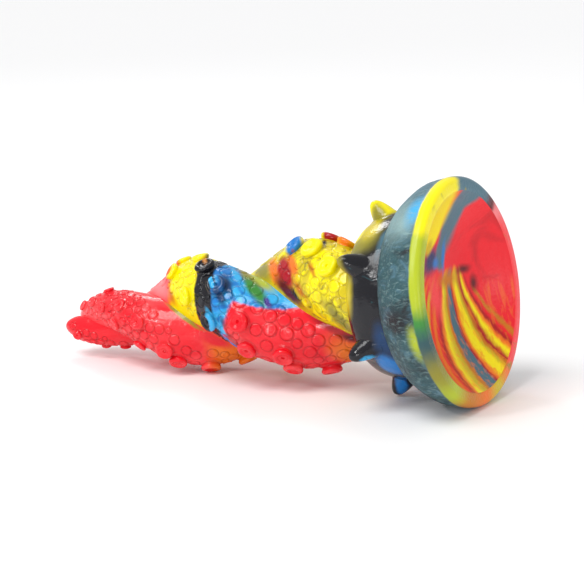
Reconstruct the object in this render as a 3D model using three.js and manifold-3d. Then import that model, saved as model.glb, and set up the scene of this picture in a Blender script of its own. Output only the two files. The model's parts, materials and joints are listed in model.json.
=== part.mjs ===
// Soft silicone form: two tentacles twisted round each other, rising from a horned collar
// on the back of a deep suction cup. It lies on its side, leaning on the cup's rim and on
// its suckers, with the cup's mouth towards +X.
//
// Everything is modelled upright first: the cup's mouth lies in the plane z = 0, the long
// axis is +Z, and a polar angle of 0 is +X. The last section lays the upright form down.
// The real thing is one flexible casting. Here each tentacle is cut by ball-shaped faces at
// three bend stations, so that the lengths between them can turn without touching.
import * as THREE from "three";
import { mergeVertices } from "three/addons/utils/BufferGeometryUtils.js";
import Module from "manifold-3d";

const wasm = await Module();
wasm.setup();

// ---- Driving dimensions, in millimetres and degrees ----
const LENGTH = 204; // mouth of the cup to the end of the longer tentacle
const CUP_RADIUS = 47.5;
const MOUTH_RADIUS = 41.8; // inner edge of the flat sealing face
const FACE_RADIUS = 45.4; // outer edge of the flat sealing face
const BOWL_DEPTH = 19;
const CUP_BACK = 24; // height of the cup's back face
const COLLAR_TOP = 43;
const COLLAR_RADIUS = 34.6;
const GAP = 0.3; // left between solids that touch on the real casting

const HORNS = 6;
const HORN_START = 94; // polar angle of the first horn
const HORN_FOOT = { radius: 29.5, height: 33 };
const HORN_TIP = { radius: 40.8, height: 41 };
const HORN_RADIUS = 5.2;

const TENTACLE_FOOT = COLLAR_TOP + GAP;
const HALF_GAP = 0.2; // from the long axis to each tentacle's flat inner side
// Height, radius of the tentacle and distance of its centre from the long axis.
const TAPER = [
  [40, 18, 9.5],
  [60, 18, 9.7],
  [84, 17.8, 9.6],
  [102, 17, 9.4],
  [120, 15.9, 9.0],
  [132, 15.2, 8.6],
  [150, 13.2, 7.2],
  [165, 10.8, 5.6],
  [180, 8.4, 4.4],
  [192, 6.9, 3.7],
  [204, 6.0, 3.3],
];
const TIP_ROUNDING = 15; // length over which each end rounds off
const TIP_RADIUS = 1.2; // what is left at the very end

// The twist: the second tentacle's centre stands at TWIST_START at TWIST_FROM, and its
// polar angle grows with height, a little faster towards the tip.
const TWIST_FROM = 72;
const TWIST_START = -90;
const TWIST_RATE = 2.796;
const TWIST_GAIN = 0.003447;

// Bend stations: the pivot on the long axis and the radius of the ball face round it.
const BENDS = [
  { height: 75, ball: 31 },
  { height: 117.5, ball: 28 },
  { height: 158, ball: 20.5 },
];
const LENGTH_NAMES = ["root", "middle", "upper", "tip"];

// Suckers stand in two loose rows along each tentacle. Each has a height, and an angle
// round the tentacle's section from its outermost point.
const SUCKERS = {
  a: {
    outer: [
      [55, 66],
      [65, 45],
      [79, 28],
      [99, 30],
      [106, 38],
      [117, 49],
      [129, 33],
      [143, 28],
      [153.5, 34],
      [164.5, 17],
      [177, 20],
    ],
    inner: [
      [53, 4],
      [64, -7],
      [75.5, -37],
      [98, -5],
      [115, -20],
      [140, 14],
      [157, -40],
      [168.5, -47],
      [177, -41],
      [185, -50],
      [193, -74],
    ],
  },
  b: {
    outer: [
      [57, 24],
      [70, 17],
      [82, 31],
      [97, 25],
      [108.5, 27],
      [118, 19],
      [124, 17],
      [141, -18],
      [154, 20],
      [165, 20],
      [178, 18],
      [195, 37],
    ],
    inner: [
      [62, -22],
      [81.5, 6],
      [97, -17],
      [112.5, -43],
      [126, -63],
      [140, -61],
      [155, -25],
      [165, -22],
      [178, -15],
      [187, -20],
    ],
  },
};
const SUCKER_TAPER = [
  [50, 4.5],
  [100, 4.3],
  [140, 3.9],
  [155, 3.1],
  [185, 2.3],
];

const RAD = Math.PI / 180;

// ---- Materials ----
const silicone = (color, roughness = 0.35) =>
  new THREE.MeshStandardMaterial({ color, roughness, metalness: 0 });
const RED = silicone("#e8263a");
const BLUE = silicone("#2f8fd0");
const YELLOW = silicone("#f2e010");
const BLACK = silicone("#1c1d24");
const TEAL = silicone("#3f6f78", 0.55);

// ---- Solids ----
// A closed geometry as a manifold-3d solid.
function solidOf(geometry) {
  const bare = geometry.clone();
  bare.deleteAttribute("normal");
  bare.deleteAttribute("uv");
  const merged = mergeVertices(bare, 1e-4);
  return new wasm.Manifold(
    new wasm.Mesh({
      numProp: 3,
      vertProperties: merged.attributes.position.array,
      triVerts: new Uint32Array(merged.index.array),
    }),
  );
}

// A manifold-3d solid as a geometry for a mesh.
function geometryOf(solid) {
  const mesh = solid.getMesh();
  return new THREE.BufferGeometry()
    .setAttribute("position", new THREE.BufferAttribute(mesh.vertProperties, 3))
    .setIndex(new THREE.BufferAttribute(mesh.triVerts, 1))
    .toNonIndexed();
}

// A solid turned round +Z from a profile of [radius, height] points.
function turned(profile, sides) {
  const points = profile.map(([radius, height]) => new THREE.Vector2(radius, height));
  return new THREE.LatheGeometry(points, sides).rotateX(Math.PI / 2);
}

const upright = new THREE.Group();

function addMesh(name, geometry, material) {
  const mesh = new THREE.Mesh(geometry, material);
  mesh.name = name;
  upright.add(mesh);
  return mesh;
}

// ---- Suction cup ----
// The bowl is a cap of a sphere, from the mouth's edge to the middle of its floor.
function bowlProfile(steps) {
  const radius = (MOUTH_RADIUS ** 2 + BOWL_DEPTH ** 2) / (2 * BOWL_DEPTH);
  const edge = Math.asin(MOUTH_RADIUS / radius);
  return Array.from({ length: steps + 1 }, (_, i) => {
    const angle = edge * (1 - i / steps);
    return [radius * Math.sin(angle), radius * Math.cos(angle) - (radius - BOWL_DEPTH)];
  });
}

const CUP_FLANK = [
  [FACE_RADIUS, 0],
  [CUP_RADIUS - 0.5, 1.4],
  [CUP_RADIUS, 3.4],
  [CUP_RADIUS - 0.2, 7],
  [46, 12],
  [43.2, 17],
  [39.6, 21.4],
  [36.6, CUP_BACK],
];

function cupGeometry() {
  const back = [0, CUP_BACK];
  return turned([...bowlProfile(6).reverse(), ...CUP_FLANK, back], 48);
}

addMesh("suction_cup", cupGeometry(), TEAL);

// ---- Collar and its horns ----
const COLLAR_SIDE = [
  [COLLAR_RADIUS - 0.4, CUP_BACK],
  [COLLAR_RADIUS, 29],
  [COLLAR_RADIUS - 0.8, 35],
  [COLLAR_RADIUS - 2.4, 39.6],
  [COLLAR_RADIUS - 5, COLLAR_TOP],
];

// The collar, grown by margin on every side.
function collarGeometry(margin) {
  const side = COLLAR_SIDE.map(([radius, height]) => [radius + margin, height]);
  side[0][1] = CUP_BACK + GAP - margin;
  side[side.length - 1][1] = COLLAR_TOP + margin;
  return turned([[0, side[0][1]], ...side, [0, COLLAR_TOP + margin]], 40);
}

addMesh("horned_collar", collarGeometry(0), BLACK);

const HORN_PROFILE = [
  [0, 0],
  [1, 0],
  [0.93, 0.3],
  [0.72, 0.62],
  [0.42, 0.88],
  [0, 1],
];

// A blunt cone from inside the collar to its tip, less the collar.
function hornGeometry(angle) {
  const at = ({ radius, height }) =>
    new THREE.Vector3(radius * Math.cos(angle), radius * Math.sin(angle), height);
  const foot = at(HORN_FOOT);
  const along = at(HORN_TIP).sub(foot);
  const long = along.length();
  const cone = turned(
    HORN_PROFILE.map(([radius, height]) => [radius * HORN_RADIUS, height * long]),
    12,
  );
  const up = new THREE.Vector3(0, 0, 1);
  cone.applyQuaternion(new THREE.Quaternion().setFromUnitVectors(up, along.normalize()));
  cone.translate(foot.x, foot.y, foot.z);
  return geometryOf(solidOf(cone).subtract(solidOf(collarGeometry(GAP))));
}

for (let i = 0; i < HORNS; i++) {
  const angle = (HORN_START - (i * 360) / HORNS) * RAD;
  addMesh("horn_" + (i + 1), hornGeometry(angle), i === 0 ? YELLOW : BLACK);
}

// ---- Tentacles ----
// The value between two rows of a table whose first column is a rising height.
function lookUp(table, height, column) {
  const above = table.findIndex((row) => row[0] >= height);
  if (above < 1) return table[above < 0 ? table.length - 1 : 0][column];
  const [low, high] = [table[above - 1], table[above]];
  const share = (height - low[0]) / (high[0] - low[0]);
  return low[column] + share * (high[column] - low[column]);
}

// Radius and centre distance of a tentacle whose end is at height end.
function sizeAt(height, end) {
  const gone = Math.max(0, 1 - (end - height) / TIP_ROUNDING);
  const radius = lookUp(TAPER, height, 1) * Math.sqrt(Math.max(0, 1 - gone * gone));
  return { radius: Math.max(radius, TIP_RADIUS), offset: lookUp(TAPER, height, 2) };
}

// Polar angle of a tentacle's centre. The first tentacle stands opposite the second.
function twistAt(height, opposite) {
  const rise = height - TWIST_FROM;
  const second = TWIST_START + TWIST_RATE * rise + TWIST_GAIN * rise * rise;
  return (second + (opposite ? 180 : 0)) * RAD;
}

// Points of a tentacle's section at a height: the round outside from one edge to the
// other, then back along the flat inner side, through the long axis.
const ROUND_POINTS = 13;
const FLAT_POINTS = 3;

function section(height, tentacle, margin) {
  const { offset, ...size } = sizeAt(height, tentacle.end);
  const radius = size.radius + margin;
  const turn = twistAt(height, tentacle.opposite);
  const reach = Math.acos(Math.max((HALF_GAP - offset) / radius, -0.96));
  const flat = [];
  const round = Array.from({ length: ROUND_POINTS }, (_, i) => {
    const angle = reach * ((2 * i) / (ROUND_POINTS - 1) - 1);
    return [offset + radius * Math.cos(angle), radius * Math.sin(angle)];
  });
  const [inside, edge] = [offset + radius * Math.cos(reach), radius * Math.sin(reach)];
  for (let i = 1; i <= FLAT_POINTS; i++)
    flat.push([inside, edge * (1 - (2 * i) / (FLAT_POINTS + 1))]);
  const [cos, sin] = [Math.cos(turn), Math.sin(turn)];
  return [...round, ...flat].map(([x, y]) => [x * cos - y * sin, x * sin + y * cos, height]);
}

// Heights of the sections: shared by both tentacles up to where the ends round off.
const SHARED_TOP = 189;

function sectionHeights(end) {
  const spread = (from, to, steps) =>
    Array.from({ length: steps }, (_, i) => from + ((to - from) * i) / steps);
  return [...spread(TENTACLE_FOOT, SHARED_TOP, 32), ...spread(SHARED_TOP, end, 5), end];
}

// A closed solid through the sections, its round outside grown by margin. Quads on the two halves of the flat side are split
// by mirrored diagonals, so that the flat sides of both tentacles stay parallel.
function tentacleGeometry(tentacle, margin = 0) {
  const rings = sectionHeights(tentacle.end).map((h) => section(h, tentacle, margin));
  const count = rings[0].length;
  const middle = ROUND_POINTS + (FLAT_POINTS - 1) / 2;
  const points = rings.flat(2);
  const faces = [];
  for (let ring = 0; ring < rings.length - 1; ring++)
    for (let i = 0; i < count; i++) {
      const [a, b] = [ring * count + i, ring * count + ((i + 1) % count)];
      const [c, d] = [a + count, b + count];
      if (i >= ROUND_POINTS - 1 && i < middle) faces.push(a, b, d, a, d, c);
      else faces.push(a, b, c, b, d, c);
    }
  for (let end = 0; end < 2; end++) {
    const first = end ? (rings.length - 1) * count : 0;
    const [hub, ring] = [first + middle, Array.from({ length: count }, (_, i) => first + i)];
    ring.forEach((a, i) => {
      const b = ring[(i + 1) % count];
      if (a !== hub && b !== hub) faces.push(...(end ? [hub, a, b] : [hub, b, a]));
    });
  }
  return new THREE.BufferGeometry()
    .setAttribute("position", new THREE.Float32BufferAttribute(points, 3))
    .setIndex(faces);
}

// All that lies below a bend's ball face, grown by margin: a wide disc up to the pivot and
// the upper half of the ball on it.
const WIDE = 80;

function belowBend({ height, ball }, margin) {
  const radius = ball + margin;
  const arc = Array.from({ length: 9 }, (_, i) => {
    const angle = (i / 8) * (Math.PI / 2);
    return [radius * Math.cos(angle), height + radius * Math.sin(angle)];
  });
  arc[8][0] = 0;
  return solidOf(turned([[0, -1], [WIDE, -1], [WIDE, height], ...arc], 48));
}

const TENTACLES = {
  a: { end: 199, opposite: true, colours: [YELLOW, YELLOW, RED, RED] },
  b: { end: LENGTH, opposite: false, colours: [RED, BLUE, YELLOW, RED] },
};

for (const [letter, tentacle] of Object.entries(TENTACLES)) {
  let rest = solidOf(tentacleGeometry(tentacle));
  BENDS.forEach((bend, i) => {
    const name = "tentacle_" + letter + "_" + LENGTH_NAMES[i];
    addMesh(name, geometryOf(rest.intersect(belowBend(bend, 0))), tentacle.colours[i]);
    rest = rest.subtract(belowBend(bend, GAP));
  });
  const name = "tentacle_" + letter + "_" + LENGTH_NAMES[BENDS.length];
  addMesh(name, geometryOf(rest), tentacle.colours[BENDS.length]);
}

// ---- Suckers ----
// A button with a dished top, as shares of its radius. Its underside is sunk in the skin,
// then cut back to follow it.
const SUCKER_PROFILE = [
  [0, -0.5],
  [0.92, -0.5],
  [1, 0.35],
  [0.72, 0.72],
  [0, 0.42],
];
const SUCKER_SIDES = 8;

// A point on a tentacle's round outside, at an angle from its section's outermost point.
function skinPoint(height, angle, tentacle) {
  const { radius, offset } = sizeAt(height, tentacle.end);
  const turn = twistAt(height, tentacle.opposite);
  return new THREE.Vector3(
    offset * Math.cos(turn) + radius * Math.cos(turn + angle),
    offset * Math.sin(turn) + radius * Math.sin(turn + angle),
    height,
  );
}

const skins = Object.values(TENTACLES).map((tentacle) =>
  solidOf(tentacleGeometry(tentacle, GAP)),
);

function addSucker(letter, row, number, height, degrees) {
  const tentacle = TENTACLES[letter];
  const angle = degrees * RAD;
  const at = skinPoint(height, angle, tentacle);
  const along = skinPoint(height + 0.5, angle, tentacle).sub(at);
  const across = skinPoint(height, angle + 0.02, tentacle).sub(at);
  const outward = across.cross(along).normalize();
  const radius = lookUp(SUCKER_TAPER, height, 1);
  const profile = SUCKER_PROFILE.map(([r, h]) => [r * radius, h * radius]);
  const up = new THREE.Vector3(0, 0, 1);
  const button = turned(profile, SUCKER_SIDES)
    .applyQuaternion(new THREE.Quaternion().setFromUnitVectors(up, outward))
    .translate(at.x, at.y, at.z);
  const seated = skins.reduce((solid, skin) => solid.subtract(skin), solidOf(button));
  const colour = tentacle.colours[LENGTH_NAMES.length - 1];
  addMesh("sucker_" + letter + "_" + row + "_" + number, geometryOf(seated), colour);
}

for (const [letter, rows] of Object.entries(SUCKERS))
  for (const [row, places] of Object.entries(rows))
    places.forEach(([height, degrees], i) => addSucker(letter, row, i + 1, height, degrees));

// ---- Lying down ----
// The upright form's +Z points to the tip, towards -X, and leans down to the table.
function laidDown(lean) {
  const front = new THREE.Vector3(0, -1, 0);
  const over = new THREE.Vector3(-Math.sin(lean), 0, Math.cos(lean));
  const ahead = new THREE.Vector3(-Math.cos(lean), 0, -Math.sin(lean));
  return new THREE.Matrix4().makeBasis(front, over, ahead);
}

// The lowest point of the meshes that pass a test, once laid down at an angle.
function lowest(lean, test) {
  upright.updateMatrixWorld(true);
  const turn = laidDown(lean);
  const point = new THREE.Vector3();
  let low = Infinity;
  for (const mesh of upright.children.filter(test)) {
    const position = mesh.geometry.attributes.position;
    for (let i = 0; i < position.count; i++) {
      point.fromBufferAttribute(position, i).applyMatrix4(mesh.matrix).applyMatrix4(turn);
      low = Math.min(low, point.z);
    }
  }
  return low;
}

// The lean at which the cup's rim and the rest of the form touch the table together.
function leanAtRest() {
  const isCup = (mesh) => mesh.name === "suction_cup";
  let [low, high] = [2 * RAD, 25 * RAD];
  for (let i = 0; i < 40; i++) {
    const lean = (low + high) / 2;
    if (lowest(lean, isCup) < lowest(lean, (mesh) => !isCup(mesh))) low = lean;
    else high = lean;
  }
  return low;
}

const lean = leanAtRest();
laidDown(lean).decompose(upright.position, upright.quaternion, upright.scale);

const part = new THREE.Group();
part.add(upright);
const box = new THREE.Box3().setFromObject(part, true);
const centre = box.getCenter(new THREE.Vector3());
upright.position.set(-centre.x, -centre.y, -box.min.z);

export default part;
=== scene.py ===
"""The look of a soft silicone form: two tentacles twisted together on a horned suction cup.

Shapes are made upright, in millimetres: the cup's mouth lies in the plane z = 0, the long
axis is +Z and a polar angle of 0 is +X. place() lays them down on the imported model.
The tentacles' sizes and the suckers' places are those of the CAD model.
"""

import json
import math
import random

import bpy
import numpy as np
from mathutils import Matrix, Vector


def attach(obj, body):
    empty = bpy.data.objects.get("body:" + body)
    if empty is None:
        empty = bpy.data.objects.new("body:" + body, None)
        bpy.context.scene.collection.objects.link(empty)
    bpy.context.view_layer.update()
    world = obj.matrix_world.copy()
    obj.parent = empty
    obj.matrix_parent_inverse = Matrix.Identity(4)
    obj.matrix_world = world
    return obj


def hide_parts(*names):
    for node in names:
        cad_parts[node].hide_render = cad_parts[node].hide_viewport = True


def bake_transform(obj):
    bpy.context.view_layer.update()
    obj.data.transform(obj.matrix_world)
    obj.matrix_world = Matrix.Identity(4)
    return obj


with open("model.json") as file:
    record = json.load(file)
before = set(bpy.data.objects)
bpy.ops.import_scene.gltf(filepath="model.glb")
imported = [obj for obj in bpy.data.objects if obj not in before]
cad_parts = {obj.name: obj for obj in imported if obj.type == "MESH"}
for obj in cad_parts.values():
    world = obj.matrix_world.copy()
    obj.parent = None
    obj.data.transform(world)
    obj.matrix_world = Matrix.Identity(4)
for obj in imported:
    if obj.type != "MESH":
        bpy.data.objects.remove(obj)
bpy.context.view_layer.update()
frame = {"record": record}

# ---- The upright frame, from the mount on the cup's sealing face ----
MOUNT = frame["record"]["mounts"][0]
# The mount's distance from the long axis, in millimetres.
MOUNT_RADIUS = 43.6
FRONT = np.array([0.0, -1.0, 0.0])
AHEAD = -np.array(MOUNT["axis"], float)
AHEAD /= np.linalg.norm(AHEAD)
OVER = np.cross(AHEAD, FRONT)
MOUTH = np.array(MOUNT["pos_m"], float) - FRONT * MOUNT_RADIUS / 1000


def place(points):
    """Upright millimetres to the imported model's frame, in metres."""
    p = np.asarray(points, float) / 1000
    return MOUTH + p[..., 0:1] * FRONT + p[..., 1:2] * OVER + p[..., 2:3] * AHEAD


# ---- Sizes shared with the CAD model, in millimetres and degrees ----
CUP_RADIUS = 47.5
MOUTH_RADIUS = 41.8
FACE_RADIUS = 45.4
BOWL_DEPTH = 19
HORNS = 6
HORN_START = 94
HORN_FOOT = (29.5, 33)
HORN_TIP = (40.6, 40.9)
HORN_RADIUS = 5.2
# Height, radius of each tentacle, and distance of its centre from the long axis.
TAPER = np.array(
    [
        [36, 17.6, 9.3],
        [60, 18, 9.7],
        [84, 17.8, 9.6],
        [102, 17, 9.4],
        [120, 15.9, 9.0],
        [132, 15.2, 8.6],
        [150, 13.2, 7.2],
        [165, 10.8, 5.6],
        [180, 8.4, 4.4],
        [192, 6.9, 3.7],
        [204, 6.0, 3.3],
    ]
)
# Each tentacle's end is rounded over this length.
TIP_ROUNDING = 15
# The second tentacle's turn round the axis is a quadratic in the height above TWIST_FROM.
TWIST_FROM = 72
TWIST_START = -90
TWIST_RATE = 2.796
TWIST_GAIN = 0.003447
TENTACLE_END = {"a": 199, "b": 204}
# Height of each sucker, and its angle round the section from the outermost point.
SUCKERS = {
    "a": {
        "outer": [
            (55, 66), (65, 45), (79, 28), (99, 30), (106, 38), (117, 49),
            (129, 33), (143, 28), (153.5, 34), (164.5, 17), (177, 20),
        ],
        "inner": [
            (53, 4), (64, -7), (75.5, -37), (98, -5), (115, -20), (140, 14),
            (157, -40), (168.5, -47), (177, -41), (185, -50), (193, -74),
        ],
    },
    "b": {
        "outer": [
            (57, 24), (70, 17), (82, 31), (97, 25), (108.5, 27), (118, 19),
            (124, 17), (141, -18), (154, 20), (165, 20), (178, 18), (195, 37),
        ],
        "inner": [
            (62, -22), (81.5, 6), (97, -17), (112.5, -43), (126, -63), (140, -61),
            (155, -25), (165, -22), (178, -15), (187, -20),
        ],
    },
}
# Height and radius of the suckers.
SUCKER_TAPER = np.array([[50, 4.5], [100, 4.3], [140, 3.9], [155, 3.1], [185, 2.3]])

# Each tentacle is made in three lengths. Each lies across one joint; bend holds two heights
# round it.
LENGTHS = [
    {
        "name": "lower",
        "from": 38,
        "to": 91.5,
        "bodies": ("base", "middle"),
        "bend": (58, 91),
        "nodes": ["root"],
    },
    {
        "name": "middle",
        "from": 91.5,
        "to": 135.5,
        "bodies": ("middle", "upper"),
        "bend": (99, 135),
        "nodes": ["middle"],
    },
    {
        "name": "end",
        "from": 135.5,
        "to": 204,
        "bodies": ("upper", "tip"),
        "bend": (142, 175),
        "nodes": ["upper", "tip"],
    },
]


def smooth_step(value, low, high):
    t = np.clip((value - low) / (high - low), 0, 1)
    return t * t * (3 - 2 * t)


FINE = np.arange(30, 212, 0.5)
SMOOTH_WIDTH = 13


def smoothed(column):
    """A column of the taper on fine heights, with its corners rounded."""
    values = np.interp(FINE, TAPER[:, 0], TAPER[:, column])
    kernel = np.ones(SMOOTH_WIDTH) / SMOOTH_WIDTH
    for _ in range(2):
        padded = np.pad(values, SMOOTH_WIDTH // 2, mode="edge")
        values = np.convolve(padded, kernel, mode="valid")
    return values


FINE_RADIUS = smoothed(1)
FINE_OFFSET = smoothed(2)


def size_at(height, letter):
    """Radius and centre distance of a tentacle at a height."""
    height = np.asarray(height, float)
    gone = np.clip(1 - (TENTACLE_END[letter] - height) / TIP_ROUNDING, 0, 1)
    radius = np.interp(height, FINE, FINE_RADIUS) * np.sqrt(1 - gone * gone)
    return radius, np.interp(height, FINE, FINE_OFFSET)


def twist_at(height, letter):
    """A tentacle's turn round the axis at a height, in radians."""
    rise = np.asarray(height, float) - TWIST_FROM
    second = TWIST_START + TWIST_RATE * rise + TWIST_GAIN * rise * rise
    return np.radians(second + (180 if letter == "a" else 0))


def skin(height, angle, letter):
    """A point on a tentacle's round outside, angle from its section's outermost point."""
    radius, offset = size_at(height, letter)
    turn = twist_at(height, letter)
    x = offset * np.cos(turn) + radius * np.cos(turn + angle)
    y = offset * np.sin(turn) + radius * np.sin(turn + angle)
    return np.stack([x, y, height + 0 * x], -1)


def outward(height, angle, letter):
    """The skin's unit normal at a point."""
    at = skin(height, angle, letter)
    along = skin(height + 0.05, angle, letter) - at
    across = skin(height, angle + 0.003, letter) - at
    normal = np.cross(across, along)
    return normal / np.linalg.norm(normal, axis=-1, keepdims=True)


def skin_coordinates(points, letter, grooves=0):
    """Height, angle in degrees and groove depth of upright points near a tentacle; the groove
    depth sets painted shade.
    """
    turn = twist_at(points[:, 2], letter)
    _, offset = size_at(points[:, 2], letter)
    x = points[:, 0] - offset * np.cos(turn)
    y = points[:, 1] - offset * np.sin(turn)
    angle = np.degrees(np.arctan2(y, x) - turn)
    angle = (angle + 180) % 360 - 180
    return np.stack([points[:, 2], angle, grooves + 0 * angle], -1)


# ---- Meshes ----
def vector_attribute(mesh, name, values):
    attribute = mesh.attributes.new(name, "FLOAT_VECTOR", "POINT")
    attribute.data.foreach_set("vector", np.asarray(values, np.float32).ravel())


def make_piece(name, points, faces, material, coordinates=None, normals=None):
    """A smooth object from upright points, which are stored on it as rest. Coordinates on a
    tentacle are stored as skin. Both tell the materials where they are."""
    mesh = bpy.data.meshes.new(name)
    mesh.from_pydata(place(points).tolist(), [], faces)
    mesh.update()
    mesh.polygons.foreach_set("use_smooth", [True] * len(mesh.polygons))
    vector_attribute(mesh, "rest", points)
    if coordinates is not None:
        vector_attribute(mesh, "skin", coordinates)
    if normals is not None:
        turned = normals[:, 0:1] * FRONT + normals[:, 1:2] * OVER + normals[:, 2:3] * AHEAD
        mesh.normals_split_custom_set_from_vertices(turned.tolist())
    mesh.materials.append(material)
    piece = bpy.data.objects.new(name, mesh)
    bpy.context.scene.collection.objects.link(piece)
    return piece


def grid_faces(rows, columns):
    """Quads of a grid of rows, each row a closed loop."""
    r, c = np.meshgrid(np.arange(rows - 1), np.arange(columns), indexing="ij")
    a = r * columns + c
    b = r * columns + (c + 1) % columns
    return np.stack([a, b, b + columns, a + columns], -1).reshape(-1, 4).tolist()


CURVE_STEPS = 12


def curve_through(points, count):
    """Points spread evenly along a Catmull-Rom curve through a profile."""
    p = np.array(points, float)
    p = np.vstack([2 * p[0] - p[1], p, 2 * p[-1] - p[-2]])
    t = np.linspace(0, 1, CURVE_STEPS, endpoint=False)[:, None]
    out = []
    for a, b, c, d in zip(p, p[1:], p[2:], p[3:]):
        cubic = -a + 3 * b - 3 * c + d
        square = 2 * a - 5 * b + 4 * c - d
        out.append(0.5 * (2 * b + (c - a) * t + square * t**2 + cubic * t**3))
    out = np.vstack([*out, p[-2:-1]])
    far = np.concatenate([[0], np.cumsum(np.linalg.norm(np.diff(out, axis=0), axis=1))])
    even = np.linspace(0, far[-1], count)
    return np.stack([np.interp(even, far, out[:, k]) for k in range(out.shape[1])], -1)


FULL_TURN = 6.28


def waves(points, scale, seed, count=5):
    """Cheap smooth noise from -1 to 1: a few waves in seeded directions."""
    rng = np.random.default_rng(seed)
    total = np.zeros(len(points))
    for _ in range(count):
        direction = rng.normal(size=3)
        direction /= np.linalg.norm(direction)
        pitch = scale * rng.uniform(0.7, 1.5)
        phase = rng.uniform(0, FULL_TURN)
        total += np.sin(points @ direction * (2 * math.pi / pitch) + phase)
    return total / count


# ---- Materials ----
def linear(red, green, blue):
    """A screen colour from 0 to 255 as linear light."""
    values = [v / 255 for v in (red, green, blue)]
    return [v / 12.92 if v < 0.04045 else ((v + 0.055) / 1.055) ** 2.4 for v in values] + [1]


RED = linear(232, 22, 38)
DEEP_RED = linear(170, 12, 26)
CORAL = linear(246, 70, 76)
PINK = linear(246, 128, 132)
MAROON = linear(96, 14, 24)
ORANGE = linear(238, 118, 24)
AMBER = linear(196, 120, 10)
YELLOW = linear(246, 230, 4)
MUSTARD = linear(206, 186, 22)
OLIVE = linear(142, 134, 40)
LIME = linear(172, 186, 34)
GREEN = linear(56, 132, 52)
CYAN = linear(52, 170, 226)
BLUE = linear(30, 120, 196)
NAVY = linear(16, 58, 104)
PURPLE = linear(64, 40, 140)
SLATE = linear(74, 112, 128)
TEAL = linear(44, 80, 86)
MIST = linear(136, 166, 166)
BLACK = linear(22, 22, 28)


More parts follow.
